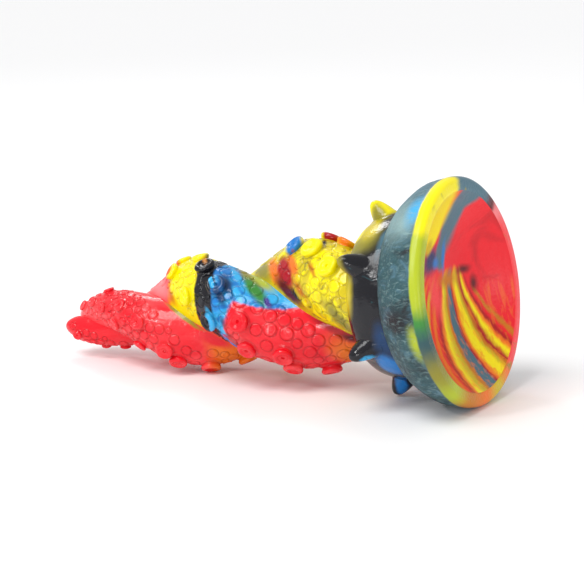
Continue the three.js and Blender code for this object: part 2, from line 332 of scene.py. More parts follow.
class Paint:
    """A silicone material, built by laying colours over each other."""

    def __init__(self, name, ground, warp, roughness, kind="skin"):
        self.material = bpy.data.materials.new(name)
        self.material.use_nodes = True
        self.tree = self.material.node_tree
        self.shader = self.tree.nodes["Principled BSDF"]
        self.shader.inputs["Roughness"].default_value = roughness
        self.shader.inputs["IOR"].default_value = 1.42
        self.shader.inputs["Subsurface Weight"].default_value = 0.06
        self.shader.inputs["Subsurface Radius"].default_value = (1.0, 0.5, 0.35)
        self.shader.inputs["Subsurface Scale"].default_value = 0.002
        self.rest = self.attribute("rest")
        self.skin = self.coordinates(kind)
        self.at = self.warped(*warp)
        self.colour = self.constant(ground)

    def new(self, kind, **settings):
        node = self.tree.nodes.new(kind)
        for key, value in settings.items():
            setattr(node, key, value)
        return node

    def wire(self, source, target):
        self.tree.links.new(source, target)

    def constant(self, colour):
        node = self.new("ShaderNodeRGB")
        node.outputs[0].default_value = colour
        return node.outputs[0]

    def attribute(self, name):
        node = self.new("ShaderNodeAttribute", attribute_name=name)
        return node.outputs["Vector"]

    def coordinates(self, kind):
        """Stored skin coordinates; or, from the rest position, height and polar angle in
        degrees round the axis; or distance right and up, looking into the mouth."""
        if kind == "skin":
            return self.attribute("skin")
        if kind == "mouth":
            return self.vector_math("MULTIPLY", self.rest, (-1, 1, 1))
        x, y, height = self.parts(self.rest)
        angle = self.math("MULTIPLY", self.math("ARCTAN2", y, x), 180 / math.pi)
        node = self.new("ShaderNodeCombineXYZ")
        self.wire(height, node.inputs["X"])
        self.wire(angle, node.inputs["Y"])
        return node.outputs[0]

    def vector_math(self, operation, first, second=None):
        node = self.new("ShaderNodeVectorMath", operation=operation)
        self.wire(first, node.inputs[0])
        if isinstance(second, (tuple, list)):
            node.inputs[1].default_value = second
        elif second is not None:
            self.wire(second, node.inputs[1])
        return node.outputs["Value"] if operation == "LENGTH" else node.outputs["Vector"]

    def math(self, operation, first, second):
        node = self.new("ShaderNodeMath", operation=operation)
        for socket, value in zip(node.inputs, (first, second)):
            if isinstance(value, (int, float)):
                socket.default_value = value
            else:
                self.wire(value, socket)
        return node.outputs[0]

    def noise(self, scale, detail=3, distortion=0.0, stretch=(1, 1, 1), on=None):
        """A noise texture over the rest position, or over another vector. The scale is in
        features per millimetre."""
        spread = self.vector_math("MULTIPLY", on or self.rest, [scale * s for s in stretch])
        node = self.new("ShaderNodeTexNoise")
        node.inputs["Scale"].default_value = 1
        node.inputs["Detail"].default_value = detail
        node.inputs["Distortion"].default_value = distortion
        self.wire(spread, node.inputs["Vector"])
        return node

    def warped(self, coarse, fine):
        """The skin coordinates, pushed about by two noises, so that colours swirl."""
        at = self.skin
        for scale, push in ((0.045, coarse), (0.3, fine)):
            noise = self.noise(scale, detail=2, distortion=0.6)
            centred = self.vector_math("SUBTRACT", noise.outputs["Color"], (0.5, 0.5, 0.5))
            shift = self.vector_math("MULTIPLY", centred, push)
            at = self.vector_math("ADD", at, shift)
        return at

    def range(self, value, low, high):
        """0 at low, 1 at high, with soft ends."""
        node = self.new("ShaderNodeMapRange", interpolation_type="SMOOTHSTEP")
        self.wire(value, node.inputs["Value"])
        node.inputs["From Min"].default_value = low
        node.inputs["From Max"].default_value = high
        return node.outputs["Result"]

    def parts(self, vector):
        node = self.new("ShaderNodeSeparateXYZ")
        self.wire(vector, node.inputs[0])
        return node.outputs

    def mix(self, factor, first, second):
        node = self.new("ShaderNodeMix", data_type="RGBA")
        self.wire(factor, node.inputs[0])
        for socket, value in ((node.inputs[6], first), (node.inputs[7], second)):
            if isinstance(value, list):
                socket.default_value = value
            else:
                self.wire(value, socket)
        return node.outputs[2]

    def blob(self, first, second, width, height, soft=0.25):
        """1 inside an ellipse in the first two skin coordinates, 0 outside. The second is
        wrapped, so that an ellipse may cross the angle of 180 degrees."""
        moved = self.vector_math("SUBTRACT", self.at, (first, second, 0))
        wrap = self.new("ShaderNodeVectorMath", operation="WRAP")
        self.wire(moved, wrap.inputs[0])
        wrap.inputs[1].default_value = (500, 180, 1)
        wrap.inputs[2].default_value = (-500, -180, -1)
        scaled = self.vector_math("MULTIPLY", wrap.outputs[0], (1 / width, 1 / height, 0))
        return self.range(self.vector_math("LENGTH", scaled), 1 + soft, 1 - soft)

    def past(self, slope, edge, soft=1.2):
        """1 where height + slope * angle is past edge."""
        height, angle, _ = self.parts(self.at)
        value = self.math("ADD", height, self.math("MULTIPLY", angle, slope))
        return self.range(value, edge - soft, edge + soft)

    def lay(self, factor, colour):
        """Cover what is there with a colour, by a factor."""
        self.colour = self.mix(factor, self.colour, colour)

    def blobs(self, colour, *places, soft=0.25):
        """Lay a colour in ellipses: the middle's two coordinates, then the two half widths."""
        for place_and_size in places:
            self.lay(self.blob(*place_and_size, soft=soft), colour)

    def shade(self, share):
        """Painted shade: darken the colour where the skin's third coordinate, the groove
        depth, is high.
        """
        node = self.new("ShaderNodeMix", data_type="RGBA", blend_type="MULTIPLY")
        self.wire(self.math("MULTIPLY", self.parts(self.skin)[2], share), node.inputs[0])
        self.wire(self.colour, node.inputs[6])
        node.inputs[7].default_value = (0.3, 0.22, 0.12, 1)
        self.colour = node.outputs[2]

    def veins(self, colour, scale, low, high, stretch=(1, 1, 1), distortion=1.5):
        """Cloudy streaks of a colour over everything laid so far."""
        noise = self.noise(scale, detail=5, distortion=distortion, stretch=stretch)
        self.lay(self.range(noise.outputs["Fac"], low, high), colour)

    def bump(self, distance, *layers):
        """Fine relief: layers of (strength, noise output)."""
        total = None
        for strength, source in layers:
            part = self.math("MULTIPLY", source, strength)
            total = part if total is None else self.math("ADD", total, part)
        node = self.new("ShaderNodeBump")
        node.inputs["Distance"].default_value = distance
        node.inputs["Strength"].default_value = 1
        self.wire(total, node.inputs["Height"])
        self.wire(node.outputs[0], self.shader.inputs["Normal"])

    def rough(self, low, high, scale):
        """Roughness that drifts between two values, as on handled silicone."""
        noise = self.noise(scale, detail=4)
        node = self.new("ShaderNodeMapRange")
        self.wire(noise.outputs["Fac"], node.inputs["Value"])
        node.inputs["From Min"].default_value = 0.3
        node.inputs["From Max"].default_value = 0.7
        node.inputs["To Min"].default_value = low
        node.inputs["To Max"].default_value = high
        self.wire(node.outputs["Result"], self.shader.inputs["Roughness"])

    def done(self):
        self.wire(self.colour, self.shader.inputs["Base Color"])
        return self.material


# How much painted shade the grooves get.
GROOVE_SHADE = 0.45


def glossy_skin(paint):
    """The moulded skin: small dimples and a slightly uneven gloss."""
    grain = paint.noise(1.3, detail=4).outputs["Fac"]
    swell = paint.noise(0.3, detail=2).outputs["Fac"]
    paint.bump(0.0002, (0.3, grain), (1.0, swell))
    paint.rough(0.08, 0.2, 0.12)
    return paint.done()


def tentacle_a_paint(name, on_suckers):
    """Mustard near the collar, then orange, then coral red to the tip."""
    paint = Paint(name, RED, ((5, 14, 0), (1.2, 5, 0)), 0.28)
    paint.veins(CORAL, 0.06, 0.42, 0.72, stretch=(1, 1, 0.35))
    paint.veins(DEEP_RED, 0.05, 0.6, 0.85, stretch=(1, 1, 0.3))
    paint.lay(paint.past(0, 184, soft=12), CORAL)
    paint.blobs(CORAL, (189, -100, 14, 40), soft=0.7)
    orange = paint.past(0.05, 129, soft=3.5)
    paint.colour = paint.mix(orange, ORANGE, paint.colour)
    paint.blobs(RED, (122, 112, 6, 12), (118, 20, 5, 30), soft=0.5)
    # Olive in the crease against the other tentacle: partly the silicone's olive, partly
    # painted shade.
    paint.blobs(OLIVE, (134, 121, 8, 5), soft=0.5)
    ground = YELLOW if on_suckers else MUSTARD
    yellow = paint.past(0.04, 106, soft=3)
    before = paint.constant(ground)
    if not on_suckers:
        clouds = paint.noise(0.11, detail=4, distortion=1.2).outputs["Fac"]
        before = paint.mix(paint.range(clouds, 0.44, 0.6), before, YELLOW)
        smudge = paint.noise(0.16, detail=5, distortion=2, stretch=(1, 1.2, 0.8))
        before = paint.mix(paint.range(smudge.outputs["Fac"], 0.57, 0.72), before, OLIVE)
        soot = paint.noise(0.09, detail=6, distortion=2.5, on=paint.at).outputs["Fac"]
        before = paint.mix(paint.range(soot, 0.64, 0.74), before, BLACK)
    paint.colour = paint.mix(yellow, before, paint.colour)
    if on_suckers:
        paint.blobs(BLUE, (75.5, -37, 6, 22), (97, 30, 5, 22))
        paint.blobs(DEEP_RED, (65, 47, 6, 20), (106, 40, 5, 20), (72, -50, 3, 9))
        paint.blobs(ORANGE, (55, 68, 6, 20), soft=0.6)
    else:
        paint.blobs(ORANGE, (86, -98, 7, 15), (75, -62, 4, 12), soft=0.5)
        paint.blobs(DEEP_RED, (79, -84, 5.5, 19), (96, 20, 5, 22), soft=0.35)
        paint.blobs(MAROON, (78, -108, 7, 12), soft=0.5)
        paint.blobs(OLIVE, (50, -58, 6, 18), (96, -112, 6, 14), (58, 90, 10, 20), soft=0.6)
        paint.blobs(AMBER, (70, -82, 3, 8), (61, -30, 2.4, 5), soft=0.8)
        paint.blobs(BLACK, (73, -100, 2, 6), (62, 24, 2.2, 5), (88, 90, 6, 14), soft=0.8)
    # Painted shade in the grooves.
    paint.shade(GROOVE_SHADE)
    return glossy_skin(paint)


def tentacle_b_paint(name, on_suckers):
    """Red near the collar, then blue and green, black, yellow, and red to the tip."""
    paint = Paint(name, RED, ((3.5, 10, 0), (1.0, 5, 0)), 0.28)
    paint.veins(CORAL, 0.06, 0.44, 0.75, stretch=(1, 1, 0.35))
    paint.veins(DEEP_RED, 0.05, 0.62, 0.85, stretch=(1, 1, 0.3))
    paint.blobs(ORANGE, (57, 72, 7, 34), (55, 10, 6, 30), soft=0.6)
    paint.blobs(MAROON, (54, 112, 5, 7), (49, 98, 3, 12), soft=0.8)
    paint.blobs(DEEP_RED, (103, -38, 3, 10), (62, 118, 6, 5), soft=0.8)
    red = paint.colour
    steep = paint.past(0.32, 113, soft=0.9)
    shallow = paint.past(0.09, 103.5, soft=0.9)
    paint.lay(paint.math("MAXIMUM", steep, shallow), CYAN)
    paint.veins(BLUE, 0.12, 0.42, 0.6, stretch=(1, 1, 0.5))
    paint.blobs(NAVY, (104.5, 50, 4, 13), (104, -16, 2.6, 10), (106, 24, 3, 12), soft=0.6)
    paint.blobs(OLIVE, (101, 108, 11, 17), (111, -86, 6, 20), soft=0.4)
    paint.blobs(LIME, (96, 117, 9, 10), soft=0.5)
    paint.blobs(GREEN, (93, 92, 7, 12), (106, -70, 4, 14), soft=0.5)
    paint.blobs(CYAN, (103.5, 80, 4.5, 8), (98.5, 58, 3, 8), soft=0.4)
    paint.blobs(PURPLE, (86, 94, 1.8, 6), soft=0.5)
    both = paint.math("MAXIMUM", steep, shallow)
    paint.colour = paint.mix(both, red, paint.colour)
    paint.lay(paint.past(-0.02, 108.6 if on_suckers else 110.5, soft=0.8), BLACK)
    if not on_suckers:
        paint.blobs(CYAN, (109.8, -36, 4.2, 12), soft=0.25)
    paint.blobs(BLUE, (111.5, 44, 1.8, 12), (106.5, -60, 3, 10), soft=0.5)
    if on_suckers:
        paint.blobs(CYAN, (110.2, 22, 1.6, 6), (110.2, -44, 2.2, 22), soft=0.3)
        paint.blobs(AMBER, (120, 27, 2.2, 6), soft=0.6)
    yellow = paint.past(0.012, 121.3 if on_suckers else 120.6, soft=0.8)
    paint.lay(yellow, YELLOW)
    paint.blobs(AMBER, (141, -106, 5, 12), soft=0.6)
    paint.lay(paint.past(-0.02, 142.5, soft=1.8), ORANGE)
    paint.lay(paint.past(-0.02, 144.5, soft=1.5), CORAL)
    paint.blobs(PINK, (149, -104, 7, 18), soft=0.7)
    paint.lay(paint.past(0, 160, soft=6), RED)
    # Painted shade in the grooves.
    paint.shade(GROOVE_SHADE)
    return glossy_skin(paint)


def collar_paint():
    """Black and olive with a blue flow. The skin coordinates are height and polar angle."""
    paint = Paint("silicone_collar", BLACK, ((3, 9, 0), (0.8, 3, 0)), 0.28, "polar")
    paint.blobs(MUSTARD, (42.5, 17, 4.5, 18), (43, -150, 6, 30), (30, 150, 6, 14), soft=0.5)
    paint.blobs(OLIVE, (38, 58, 9, 13), (42, 44, 3, 22), (32, -178, 6, 20), soft=0.6)
    paint.blobs(SLATE, (26.5, 56, 1.2, 12), soft=0.9)
    paint.blobs(MUSTARD, (34, 68, 5, 11), (39.5, 80, 7, 18), soft=0.6)
    paint.blobs(YELLOW, (38, 95, 9, 11), (42, 66, 3, 9), soft=0.35)
    paint.blobs(BLUE, (29.5, -44, 4.5, 13), (36.5, -80, 2.6, 5), (33, -120, 6, 12), soft=0.35)
    # Olive on one side of the first horn: partly the silicone's olive, partly painted shade.
    paint.blobs(OLIVE, (36.5, 87, 3.6, 4.5), (34, 84, 3, 3), soft=0.6)
    paint.blobs(BLACK, (28.5, 78, 3.2, 16), soft=0.6)
    paint.blobs(CYAN, (34.6, -29.5, 2.6, 3.2), (30, 120, 5, 9), soft=0.4)
    paint.blobs(NAVY, (26, -20, 4, 12), (30, -100, 5, 14), soft=0.6)
    paint.veins(TEAL, 0.12, 0.66, 0.8)
    return glossy_skin(paint)


LIP_COLOURS = [
    (-180, CORAL),
    (-128, CORAL),
    (-118, ORANGE),
    (-104, MUSTARD),
    (-88, ORANGE),
    (-70, AMBER),
    (-52, LIME),
    (-34, OLIVE),
    (-16, TEAL),
    (-4, GREEN),
    (8, LIME),
    (36, LIME),
    (46, YELLOW),
    (90, YELLOW),
    (96, SLATE),
    (122, SLATE),
    (134, MAROON),
    (140, PINK),
    (152, CORAL),
]
# The bowl's streaks fan out from a point. Degrees to the left of straight down from it.
FAN_RIGHT = 17.5
FAN_UP = 22
BOWL_STREAKS = [
    (-21, RED),
    (-18.6, AMBER),
    (-16, RED),
    (-13.6, DEEP_RED),
    (-12, ORANGE),
    (-9.6, YELLOW),
    (-6, DEEP_RED),
    (-4.4, AMBER),
    (-2.6, MUSTARD),
    (-1, YELLOW),
    (2, YELLOW),
    (4.8, ORANGE),
    (6.4, DEEP_RED),
    (7.8, SLATE),
    (12, SLATE),
    (14, AMBER),
    (16.5, MUSTARD),
    (20, YELLOW),
    (23, ORANGE),
    (25, DEEP_RED),
    (29, RED),
    (32, ORANGE),
    (36, RED),
    (40, MUSTARD),
    (44, RED),
    (49, ORANGE),
    (53, RED),
    (58, YELLOW),
    (63, RED),
    (68, ORANGE),
    (74, RED),
]


def ramp_of(paint, value, low, high, stops):
    """A smooth colour ramp over a value, from (value, colour) stops."""
    node = paint.new("ShaderNodeValToRGB")
    node.color_ramp.interpolation = "EASE"
    scaled = paint.new("ShaderNodeMapRange")
    paint.wire(value, scaled.inputs["Value"])
    scaled.inputs["From Min"].default_value = low
    scaled.inputs["From Max"].default_value = high
    paint.wire(scaled.outputs["Result"], node.inputs["Fac"])
    elements = node.color_ramp.elements
    while len(elements) < len(stops):
        elements.new(1)
    for element, (at, colour) in zip(elements, stops):
        element.position = (at - low) / (high - low)
        element.color = colour
    return node.outputs["Color"]


def flank_paint():
    """The cup's outside: a matt, streaky teal with a bright lip round the mouth."""
    paint = Paint("silicone_cup_outside", TEAL, ((2.5, 12, 0), (0.7, 4, 0)), 0.5, "polar")
    paint.veins(BLACK, 0.06, 0.5, 0.75, stretch=(1, 1, 0.7))
    paint.veins(SLATE, 0.09, 0.48, 0.7, stretch=(1, 1, 0.6), distortion=2.5)
    paint.veins(MIST, 0.13, 0.62, 0.8, stretch=(1.6, 1.6, 0.35), distortion=3)
    paint.blobs(MIST, (10, 50, 6, 10), (18, 62, 7, 12), soft=0.9)
    paint.blobs(SLATE, (15, 84, 12, 20), (8, -150, 10, 30), soft=0.9)
    paint.blobs(CYAN, (6, 56, 3.4, 8), (10, 150, 6, 14), soft=0.95)
    paint.blobs(NAVY, (5, -96, 3, 20), soft=0.7)
    paint.blobs(BLACK, (13, -3, 7, 7), (27, -10, 4, 70), (27, 170, 4, 60), soft=0.8)
    paint.blobs(LIME, (5.4, -15, 2.4, 7), (9, -120, 4, 12), soft=0.9)
    streak = paint.noise(0.3, detail=7, distortion=2.5, stretch=(1, 1, 0.4)).outputs["Fac"]
    paint.lay(paint.math("MULTIPLY", paint.range(streak, 0.5, 0.7), 0.35), MIST)
    height, angle, _ = paint.parts(paint.at)
    lip = ramp_of(paint, angle, -180, 180, LIP_COLOURS)
    lip_edge = paint.range(height, 4.6, 3.4)
    paint.colour = paint.mix(lip_edge, paint.colour, lip)
    wrinkle = paint.noise(0.55, detail=6, distortion=2.4, stretch=(1, 1, 0.45))
    pits = paint.noise(2.2, detail=3).outputs["Fac"]
    rest_height = paint.parts(paint.rest)[2]
    matt = paint.range(rest_height, 3.2, 7)
    relief = paint.math("MULTIPLY", wrinkle.outputs["Fac"], matt)
    paint.bump(0.00045, (1.0, relief), (0.12, pits))
    rough = paint.math("ADD", paint.math("MULTIPLY", matt, 0.2), 0.33)
    paint.wire(rough, paint.shader.inputs["Roughness"])
    return paint.done()


def bowl_paint():
    """The cup's inside: red, with streaks that pour down from a hook beside the middle.
    Its skin coordinates are the distance right and up, looking into the mouth."""
    paint = Paint("silicone_cup_inside", RED, ((4, 3, 0), (0.3, 0.3, 0)), 0.42, "mouth")
    paint.veins(DEEP_RED, 0.04, 0.5, 0.8)
    right, up, _ = paint.parts(paint.at)
    left_of = paint.math("SUBTRACT", FAN_RIGHT, right)
    below_it = paint.math("SUBTRACT", FAN_UP, up)
    fan = paint.math("MULTIPLY", paint.math("ARCTAN2", left_of, below_it), 180 / math.pi)
    fine = paint.noise(0.45, detail=4, distortion=0.3, stretch=(1, 0.1, 1), on=paint.skin)
    centred = paint.math("SUBTRACT", fine.outputs["Fac"], 0.5)
    ragged = paint.math("ADD", fan, paint.math("MULTIPLY", centred, 3.5))
    streaks = ramp_of(paint, ragged, -30, 80, BOWL_STREAKS)
    glow = paint.range(fine.outputs["Fac"], 0.5, 0.66)
    streaks = paint.mix(paint.math("MULTIPLY", glow, 0.45), streaks, ORANGE)
    hook = paint.blob(15.5, -4, 8, 11, soft=0.25)
    left_wall = paint.blob(-14, -3, 23, 10, soft=0.45)
    under = paint.math("MAXIMUM", paint.range(up, 0, -5), hook)
    paint.lay(paint.math("MAXIMUM", under, left_wall), streaks)
    paint.blobs(AMBER, (13.5, 3.5, 5, 3), soft=0.9)
    paint.blobs(CORAL, (3, -2, 4, 8), soft=0.8)
    paint.blobs(MAROON, (26.5, -1, 1.6, 3), (22, 6, 3, 1.6), soft=0.9)
    paint.blobs(NAVY, (1, 14, 6, 5), (-16, 12, 12, 6), soft=0.6)
    paint.blobs(SLATE, (10.5, 30, 5.4, 14), (8.5, 15, 3.2, 7), (14, 38, 8, 5), soft=0.3)
    paint.blobs(BLUE, (10.5, 14, 0.9, 6), (5, 12, 2, 2), soft=0.8)
    paint.blobs(YELLOW, (-8, 32, 13.5, 13), (0, 26, 4.6, 7), soft=0.25)
    paint.blobs(MUSTARD, (-34, 4, 8, 8), (-2, 20, 3, 3), soft=0.6)
    grain = paint.noise(0.8, detail=5).outputs["Fac"]
    paint.bump(0.0002, (1.0, grain))
    paint.rough(0.3, 0.42, 0.06)
    return paint.done()


def face_paint():
    """The flat sealing face round the mouth, coloured by polar angle."""
    paint = Paint("silicone_lip", LIME, ((2, 9, 0), (0.6, 3, 0)), 0.36, "polar")
    angle = paint.parts(paint.at)[1]
    paint.colour = ramp_of(paint, angle, -180, 180, LIP_COLOURS)
    paint.veins(OLIVE, 0.08, 0.62, 0.8)
    grain = paint.noise(0.9, detail=4).outputs["Fac"]
    paint.bump(0.0003, (1.0, grain))
    paint.rough(0.3, 0.44, 0.09)
    return paint.done()


# ---- Tentacles ----
ROW_STEP = 0.28
CAP_ROWS = 46
ARC_COLUMNS = 290
CHORD_COLUMNS = 12
# Radius of the flat discs at the thick end, and how many places are tried for each size.
DISC_SIZES = ((2.7, 5000), (2.15, 4000), (1.6, 1500))
DISC_SPACE = 0.25
SUCKER_SPACE = 0.5
# Heights of the relief, in millimetres.
SWELL = 0.16
DISC_LIFT = 0.3
DISC_DISH = 0.12
DISC_RIM = 0.14
GROOVE_DEPTH = 0.26
GROOVE_WIDTH = 0.24
SUCKER_MOUND = 0.5


def sucker_list(letter):
    """(node, height, angle in radians, radius) of every sucker of a tentacle."""
    out = []
    for row, places in SUCKERS[letter].items():
        for i, (height, angle) in enumerate(places):
            node = f"sucker_{letter}_{row}_{i + 1}"
            radius = float(np.interp(height, SUCKER_TAPER[:, 0], SUCKER_TAPER[:, 1]))
            out.append((node, height, math.radians(angle), radius))
    return out


def scattered_discs(letter, rng):
    """Flat discs packed over the suckered face, largest first: (centre, radius, kind)."""
    suckers = [(skin(h, a, letter), r + SUCKER_SPACE) for _, h, a, r in sucker_list(letter)]
    centres = np.array([c for c, _ in suckers])
    radii = np.array([r for _, r in suckers])
    discs = []
    for radius, tries in DISC_SIZES:
        for _ in range(tries):
            height = rng.uniform(44, TENTACLE_END[letter] - 6)
            highest = float(np.interp(height, [100, 125], [104, 78]))
            angle = math.radians(rng.uniform(-95, highest))
            slim = float(np.interp(height, [95, 150, 200], [1.0, 0.75, 0.55]))
            own = radius * slim * rng.uniform(0.95, 1.05)
            at = skin(height, angle, letter)
            if np.all(np.linalg.norm(centres - at, axis=1) > radii + own + DISC_SPACE):
                centres = np.vstack([centres, at])
                radii = np.append(radii, own)
                discs.append((at, own, rng.random()))
    return discs


def relief_of(letter, points, heights, angles):
    """How far the skin stands out at each point of a tentacle's grid, and its grooves, which
    get painted shade.
    """
    rng = random.Random(7 if letter == "a" else 19)
    lift = SWELL * waves(points.reshape(-1, 3), 17, 3).reshape(angles.shape)
    grooves = np.zeros(angles.shape)
    for at, radius, kind in scattered_discs(letter, rng):
        rows = np.nonzero(np.abs(heights - at[2]) < radius + 1.2)[0]
        window = slice(rows[0], rows[-1] + 1)
        far = np.linalg.norm(points[window] - at, axis=-1)
        disc = DISC_LIFT * smooth_step(-far, -radius - 0.1, -radius + 0.45)
        # Each disc's groove is sunk, and it also carries painted shade.
        groove = np.exp(-(((far - radius - 0.2) / GROOVE_WIDTH) ** 2))
        dish = DISC_DISH * np.clip(1 - (far / radius) ** 2, 0, 1)
        rim = DISC_RIM * np.exp(-(((far - 0.62 * radius) / 0.3) ** 2)) * (kind > 0.75)
        lift[window] += disc - GROOVE_DEPTH * groove - dish + rim
        grooves[window] = np.maximum(grooves[window], groove)
    for _, height, angle, radius in sucker_list(letter):
        at = skin(height, angle, letter)
        rows = np.nonzero(np.abs(heights - height) < radius + 4)[0]
        window = slice(rows[0], rows[-1] + 1)
        far = np.linalg.norm(points[window] - at, axis=-1)
        lift[window] += SUCKER_MOUND * smooth_step(-far, -radius - 1.0, -radius + 0.4)
        # The crease round each sucker's foot isn't sunk; it only carries painted shade.
        crease_shade = 0.7 * np.exp(-(((far - radius - 0.1) / 0.5) ** 2))
        grooves[window] = np.maximum(grooves[window], crease_shade)
    return lift, grooves


def tentacle_grid(letter):
    """Heights, points, normals and grooves of a whole tentacle's closed sections; the grooves
    carry painted shade.
    """
    end = TENTACLE_END[letter]
    body = np.arange(LENGTHS[0]["from"], end - TIP_ROUNDING, ROW_STEP)
    cap = end - TIP_ROUNDING * (1 - np.sin(np.linspace(0, math.pi / 2, CAP_ROWS)))
    splits = [length["from"] for length in LENGTHS[1:]]
    heights = np.unique(np.concatenate([body, cap[:-1], splits, [end - 0.01]]))
    radius, offset = size_at(heights, letter)
    reach = np.arccos(np.clip(-(offset + 0.25) / np.maximum(radius, 0.01), -0.985, 1))
    share = np.linspace(-1, 1, ARC_COLUMNS)
    angles = reach[:, None] * share
    points = skin(heights[:, None] + 0 * angles, angles, letter)
    normals = outward(heights[:, None] + 0 * angles, angles, letter)
    fade = smooth_step(reach[:, None] - np.abs(angles), 0.03, 0.2)
    thin = smooth_step(radius[:, None], 1.5, 5)
    lift, grooves = relief_of(letter, points, heights, angles)
    points = points + normals * (lift * fade * thin)[..., None]
    grooves = np.pad(grooves, ((0, 0), (0, CHORD_COLUMNS)))
    across = np.gradient(points, axis=1)
    along = np.gradient(points, heights, axis=0)
    normals = np.cross(across, along)
    normals /= np.linalg.norm(normals, axis=-1, keepdims=True) + 1e-12
    t = np.linspace(0, 1, CHORD_COLUMNS + 2)[1:-1][None, :, None]
    chord = points[:, -1:] * (1 - t) + points[:, :1] * t
    turn = twist_at(heights, letter)
    inward = np.stack([-np.cos(turn), -np.sin(turn), 0 * turn], -1)[:, None, :]
    chord_normals = np.repeat(inward, CHORD_COLUMNS, axis=1)
    points = np.concatenate([points, chord], 1)
    normals = np.concatenate([normals, chord_normals], 1)
    return heights, points, normals, grooves


def make_tentacle(letter, material):
    """A tentacle in three lengths that meet in shared rows and share their normals."""
    heights, points, normals, grooves = tentacle_grid(letter)
    columns = points.shape[1]
    for i, length in enumerate(LENGTHS):
        keep = (heights >= length["from"] - 1e-6) & (heights <= length["to"] + 1e-6)
        flat = points[keep].reshape(-1, 3)
        faces = grid_faces(int(keep.sum()), columns)
        if i == 0:
            faces.append(list(range(columns))[::-1])
        if i == len(LENGTHS) - 1:
            faces.append([len(flat) - columns + k for k in range(columns)])
        name = f"tentacle_{letter}_{length['name']}_skin"
        coordinates = skin_coordinates(flat, letter, grooves[keep].ravel())
        flat_normals = normals[keep].reshape(-1, 3)
        piece = make_piece(name, flat, faces, material, coordinates, flat_normals)
        bend_piece(piece)
        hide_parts(*[f"tentacle_{letter}_{node}" for node in length["nodes"]])


def bend_piece(piece):
    """Bake a piece's place into its mesh."""
    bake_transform(piece)


# ---- Suckers ----
SUCKER_ROWS = 34
SUCKER_SIDES = 40
# A fat ring with rounded sides, a shallow dish and a pit, as shares of its radius.
SUCKER_PROFILE = [
    (1.0, -0.45),
    (0.95, -0.15),
    (0.93, 0.04),
    (0.98, 0.17),
    (1.05, 0.32),
    (1.05, 0.46),
    (0.98, 0.6),
    (0.85, 0.69),
    (0.7, 0.7),
    (0.57, 0.64),
    (0.47, 0.55),
    (0.37, 0.52),
    (0.27, 0.53),
    (0.19, 0.49),
    (0.13, 0.38),
    (0.08, 0.27),
    (0.0, 0.25),
]


def sucker_points(letter, height, angle, radius, rng):
    """Rings of one sucker, slightly out of round and leaning, upright."""
    profile = curve_through(SUCKER_PROFILE, SUCKER_ROWS)[:-1]
    around = np.linspace(0, 2 * math.pi, SUCKER_SIDES, endpoint=False)
    at = skin(height, angle, letter)
    up = outward(height, angle, letter)
    lean = np.array([rng.uniform(-1, 1) for _ in range(3)])
    up = up + 0.1 * lean
    up /= np.linalg.norm(up)
    side = np.cross(up, [0, 0, 1])
    side /= np.linalg.norm(side)
    other = np.cross(up, side)
    phase = rng.uniform(0, FULL_TURN)
    oval = rng.uniform(0.02, 0.06)
    radius *= rng.uniform(0.93, 1.04)
    squash = rng.uniform(0.9, 1.0)
    rings = []
    for share, lift in profile:
        wide = radius * share * (1 + oval * np.cos(2 * around + phase))
        wide = wide * (1 + 0.018 * np.cos(5 * around + 2 * phase))
        tall = radius * lift * squash * (1 + 0.05 * np.cos(around + 3 * phase) * (lift > 0.3))
        ring = at + wide[:, None] * (
            np.cos(around)[:, None] * side + np.sin(around)[:, None] * other
        )
        rings.append(ring + np.asarray(tall)[..., None] * up)
    middle = at + up * radius * SUCKER_PROFILE[-1][1] * squash
    return np.vstack(rings), middle, len(profile), len(around)


def make_suckers(letter, material):
    """All suckers of a tentacle, one piece for each of its three lengths."""
    rng = random.Random(31 if letter == "a" else 43)
    groups = {length["name"]: [] for length in LENGTHS}
    for node, height, angle, radius in sucker_list(letter):
        length = next(part for part in LENGTHS if height <= part["to"])
        groups[length["name"]].append((node, height, angle, radius))
    for length in LENGTHS:
        points, faces, nodes = [], [], []
        start = 0
        for node, height, angle, radius in groups[length["name"]]:
            rings, middle, rows, columns = sucker_points(letter, height, angle, radius, rng)
            quads = grid_faces(rows, columns)
            faces += [[start + k for k in quad] for quad in quads]
            last = start + (rows - 1) * columns
            top = start + rows * columns
            faces += [[last + k, last + (k + 1) % columns, top] for k in range(columns)]
            faces.append([start + k for k in reversed(range(columns))])
            points += [rings, middle[None]]
            start = top + 1
            nodes.append(node)
        flat = np.vstack(points)
        name = f"suckers_{letter}_{length['name']}"
        coordinates = skin_coordinates(flat, letter)
        piece = make_piece(name, flat, faces, material, coordinates)
        bend_piece(piece)
        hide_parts(*nodes)


# ---- Cup ----
def lathe_points(profile, sides):
    """Rings of points round the axis, one for each profile point."""
    around = np.linspace(0, 2 * math.pi, sides, endpoint=False)
    rings = []
    for radius, height in profile:
        ring = [radius * np.cos(around), radius * np.sin(around), height + 0 * around]
        rings.append(np.stack(ring, -1))
    return np.vstack(rings)


CUP_SIDES = 288
FLANK_ROWS = 96
LIP_ROWS = 18
BOWL_ROWS = 90
# Radius and height of the cup's outside, from the mouth to the collar.
FLANK_PROFILE = [
    (FACE_RADIUS, 0.05),
    (46.3, 0.45),
    (CUP_RADIUS - 0.35, 1.5),
    (CUP_RADIUS - 0.1, 2.8),
    (CUP_RADIUS - 0.02, 3.8),
    (CUP_RADIUS - 0.3, 5.4),
    (CUP_RADIUS - 0.5, 7.4),
    (46.2, 11.8),
    (44.3, 15.6),
    (41.6, 19.6),
    (38.6, 22.7),
    (36.0, 24.4),
    (34.6, 25.0),
    (33.4, 26.5),
]


